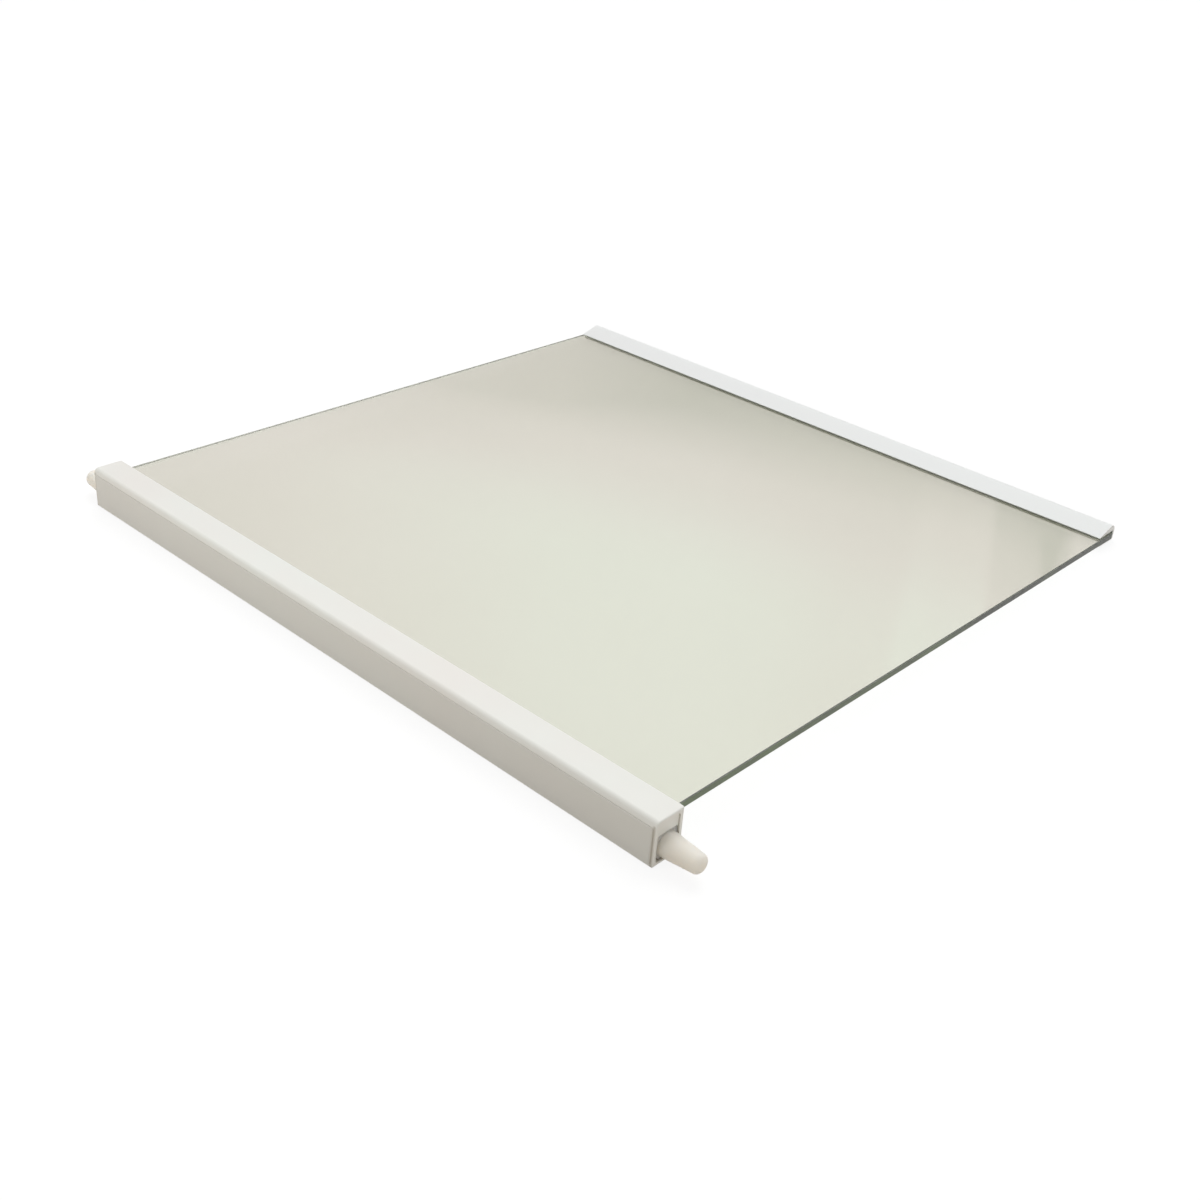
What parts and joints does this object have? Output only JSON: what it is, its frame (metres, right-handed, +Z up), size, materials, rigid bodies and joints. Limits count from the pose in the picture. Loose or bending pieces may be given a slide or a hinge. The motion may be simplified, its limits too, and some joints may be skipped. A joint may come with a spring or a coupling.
{
  "type": "fridge glass shelf",
  "caption": "Flat glass fridge shelf with a white moulded front rail, a tapered support pin at each rail end and a white push-on trim along the rear edge.",
  "frame": {"origin": "middle of the shelf's outline in plan, level with the underside of the front rail", "axes": "+X to the right along the rail and the pins, +Y from the front rail to the rear trim, +Z up, square to the glass"},
  "size_m": [0.4564, 0.4028, 0.0239],
  "materials": {
    "clear_glass": "polished float glass with ground edges",
    "white_rail": "satin moulded",
    "natural_nylon": "semi-matte moulded",
    "white_trim": "satin extruded"
  },
  "bodies": {
    "root": {"glass_panel": "clear_glass", "front_rail": "white_rail", "pin_plug_left": "natural_nylon", "pin_plug_right": "natural_nylon", "rear_trim": "white_trim"}
  },
  "joints": []
}
